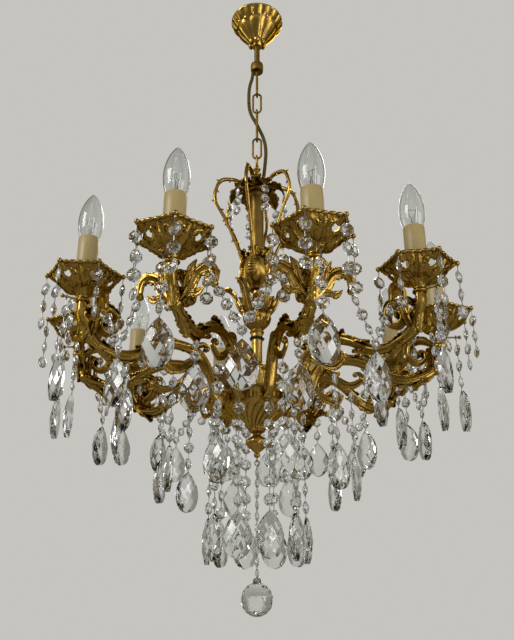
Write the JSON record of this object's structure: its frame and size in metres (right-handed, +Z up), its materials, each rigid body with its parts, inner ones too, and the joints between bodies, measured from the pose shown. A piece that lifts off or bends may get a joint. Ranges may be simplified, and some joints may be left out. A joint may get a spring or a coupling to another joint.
{
  "type": "multi arm chandelier",
  "caption": "Cast brass chandelier on a chain, with scrolled arms, drip pans, candle bulbs and hung crystal drops, fixed to the ceiling by a crossbar under a sliding canopy.",
  "frame": {"origin": "on the ceiling plane, midway between the two ceiling screws of the crossbar", "axes": "+Z up into the ceiling along the stem, X along the crossbar through both screws, -Y towards the viewer"},
  "size_m": [0.6464, 0.6334, 1.0377],
  "materials": {
    "cast_brass": "aged polish",
    "zinc_steel": "zinc plated",
    "terminal_plastic": "matt",
    "braided_cord": "braided",
    "black_washer": "satin",
    "lead_plastic": "gloss",
    "sleeve_card": "matt",
    "holder_plastic": "matt",
    "bulb_glass": "clear",
    "crystal": "cut and polished"
  },
  "bodies": {
    "ceiling_mount": {"ceiling_bracket": "zinc_steel", "lock_nut": "zinc_steel", "terminal_block": "terminal_plastic", "hanging_stem": "cast_brass", "stem_eye": "cast_brass", "supply_cord": "braided_cord"},
    "canopy": {"canopy": "cast_brass", "canopy_screw": "cast_brass"},
    "chain_link_1": {"chain_link_1": "cast_brass"},
    "chain_link_2": {"chain_link_2": "cast_brass"},
    "chain_link_3": {"chain_link_3": "cast_brass"},
    "lamp_body": {"body_eye": "cast_brass", "crown_plate": "cast_brass", "crown_scrolls": "cast_brass", "column_tube": "cast_brass", "vase": "cast_brass", "calyx": "cast_brass", "neck_washer": "black_washer", "hub_drum": "cast_brass", "hub_bowl": "cast_brass", "bottom_finial": "cast_brass", "tie_rod": "zinc_steel", "arm_01": "cast_brass", "arm_02": "cast_brass", "arm_03": "cast_brass", "arm_04": "cast_brass", "arm_05": "cast_brass", "arm_06": "cast_brass", "arm_07": "cast_brass", "arm_08": "cast_brass", "arm_09": "cast_brass", "arm_10": "cast_brass", "arm_nuts": "zinc_steel", "arm_wires": "lead_plastic", "drip_pans": "cast_brass", "candle_sleeves": "sleeve_card", "lampholders": "holder_plastic", "crystal_strands": "crystal", "crystal_pears": "crystal"},
    "bulb_01": {"bulb_01": "bulb_glass"},
    "bulb_02": {"bulb_02": "bulb_glass"},
    "bulb_03": {"bulb_03": "bulb_glass"},
    "bulb_04": {"bulb_04": "bulb_glass"},
    "bulb_05": {"bulb_05": "bulb_glass"},
    "bulb_06": {"bulb_06": "bulb_glass"},
    "bulb_07": {"bulb_07": "bulb_glass"},
    "bulb_08": {"bulb_08": "bulb_glass"},
    "bulb_09": {"bulb_09": "bulb_glass"},
    "bulb_10": {"bulb_10": "bulb_glass"},
    "pendant_01": {"pendant_01": "crystal"},
    "pendant_02": {"pendant_02": "crystal"},
    "pendant_03": {"pendant_03": "crystal"},
    "pendant_04": {"pendant_04": "crystal"},
    "pendant_05": {"pendant_05": "crystal"},
    "pendant_06": {"pendant_06": "crystal"},
    "pendant_07": {"pendant_07": "crystal"},
    "pendant_08": {"pendant_08": "crystal"},
    "pendant_09": {"pendant_09": "crystal"},
    "pendant_10": {"pendant_10": "crystal"},
    "ball_drop": {"ball_drop": "crystal"}
  },
  "joints": [
    {"name": "canopy_slide", "type": "slide", "parent": "ceiling_mount", "child": "canopy", "axis": [0, 0, 1], "range_m": [-0.041, 0]},
    {"name": "link_1_swing", "type": "hinge", "parent": "ceiling_mount", "child": "chain_link_1", "pos_m": [0, 0, -0.176], "axis": [0, 1, 0], "range_deg": [-20, 20], "deforming": ["supply_cord"]},
    {"name": "link_2_swing", "type": "hinge", "parent": "chain_link_1", "child": "chain_link_2", "pos_m": [0, 0, -0.2135], "axis": [1, 0, 0], "range_deg": [-20, 20], "deforming": ["supply_cord"]},
    {"name": "link_3_swing", "type": "hinge", "parent": "chain_link_2", "child": "chain_link_3", "pos_m": [0, 0, -0.274], "axis": [0, 1, 0], "range_deg": [-20, 20], "deforming": ["supply_cord"]},
    {"name": "lamp_swing", "type": "hinge", "parent": "chain_link_3", "child": "lamp_body", "pos_m": [0, 0, -0.3115], "axis": [1, 0, 0], "range_deg": [-20, 20], "deforming": ["supply_cord"]},
    {"name": "bulb_01_turn", "type": "hinge", "parent": "lamp_body", "child": "bulb_01", "pos_m": [0.275, 0, -0.5648], "axis": [0, 0, 1], "range_deg": [0, 1080]},
    {"name": "bulb_02_turn", "type": "hinge", "parent": "lamp_body", "child": "bulb_02", "pos_m": [0.22248, 0.16164, -0.5648], "axis": [0, 0, 1], "range_deg": [0, 1080]},
    {"name": "bulb_03_turn", "type": "hinge", "parent": "lamp_body", "child": "bulb_03", "pos_m": [0.08498, 0.26154, -0.5648], "axis": [0, 0, 1], "range_deg": [0, 1080]},
    {"name": "bulb_04_turn", "type": "hinge", "parent": "lamp_body", "child": "bulb_04", "pos_m": [-0.08498, 0.26154, -0.5648], "axis": [0, 0, 1], "range_deg": [0, 1080]},
    {"name": "bulb_05_turn", "type": "hinge", "parent": "lamp_body", "child": "bulb_05", "pos_m": [-0.22248, 0.16164, -0.5648], "axis": [0, 0, 1], "range_deg": [0, 1080]},
    {"name": "bulb_06_turn", "type": "hinge", "parent": "lamp_body", "child": "bulb_06", "pos_m": [-0.275, 0, -0.5648], "axis": [0, 0, 1], "range_deg": [0, 1080]},
    {"name": "bulb_07_turn", "type": "hinge", "parent": "lamp_body", "child": "bulb_07", "pos_m": [-0.22248, -0.16164, -0.5648], "axis": [0, 0, 1], "range_deg": [0, 1080]},
    {"name": "bulb_08_turn", "type": "hinge", "parent": "lamp_body", "child": "bulb_08", "pos_m": [-0.08498, -0.26154, -0.5648], "axis": [0, 0, 1], "range_deg": [0, 1080]},
    {"name": "bulb_09_turn", "type": "hinge", "parent": "lamp_body", "child": "bulb_09", "pos_m": [0.08498, -0.26154, -0.5648], "axis": [0, 0, 1], "range_deg": [0, 1080]},
    {"name": "bulb_10_turn", "type": "hinge", "parent": "lamp_body", "child": "bulb_10", "pos_m": [0.22248, -0.16164, -0.5648], "axis": [0, 0, 1], "range_deg": [0, 1080]},
    {"name": "pendant_01_swing", "type": "hinge", "parent": "lamp_body", "child": "pendant_01", "pos_m": [0.2975, 0, -0.6508], "axis": [1, 0, 0], "range_deg": [-25, 25]},
    {"name": "pendant_02_swing", "type": "hinge", "parent": "lamp_body", "child": "pendant_02", "pos_m": [0.24068, 0.17487, -0.6508], "axis": [0.809, 0.5878, 0], "range_deg": [-25, 25]},
    {"name": "pendant_03_swing", "type": "hinge", "parent": "lamp_body", "child": "pendant_03", "pos_m": [0.09193, 0.28294, -0.6508], "axis": [0.309, 0.9511, 0], "range_deg": [-25, 25]},
    {"name": "pendant_04_swing", "type": "hinge", "parent": "lamp_body", "child": "pendant_04", "pos_m": [-0.09193, 0.28294, -0.6508], "axis": [-0.309, 0.9511, 0], "range_deg": [-25, 25]},
    {"name": "pendant_05_swing", "type": "hinge", "parent": "lamp_body", "child": "pendant_05", "pos_m": [-0.24068, 0.17487, -0.6508], "axis": [-0.809, 0.5878, 0], "range_deg": [-25, 25]},
    {"name": "pendant_06_swing", "type": "hinge", "parent": "lamp_body", "child": "pendant_06", "pos_m": [-0.2975, 0, -0.6508], "axis": [-1, 0, 0], "range_deg": [-25, 25]},
    {"name": "pendant_07_swing", "type": "hinge", "parent": "lamp_body", "child": "pendant_07", "pos_m": [-0.24068, -0.17487, -0.6508], "axis": [-0.809, -0.5878, 0], "range_deg": [-25, 25]},
    {"name": "pendant_08_swing", "type": "hinge", "parent": "lamp_body", "child": "pendant_08", "pos_m": [-0.09193, -0.28294, -0.6508], "axis": [-0.309, -0.9511, 0], "range_deg": [-25, 25]},
    {"name": "pendant_09_swing", "type": "hinge", "parent": "lamp_body", "child": "pendant_09", "pos_m": [0.09193, -0.28294, -0.6508], "axis": [0.309, -0.9511, 0], "range_deg": [-25, 25]},
    {"name": "pendant_10_swing", "type": "hinge", "parent": "lamp_body", "child": "pendant_10", "pos_m": [0.24068, -0.17487, -0.6508], "axis": [0.809, -0.5878, 0], "range_deg": [-25, 25]},
    {"name": "ball_swing", "type": "hinge", "parent": "lamp_body", "child": "ball_drop", "pos_m": [0, 0, -0.8344], "axis": [0, 1, 0], "range_deg": [-15, 15]}
  ]
}
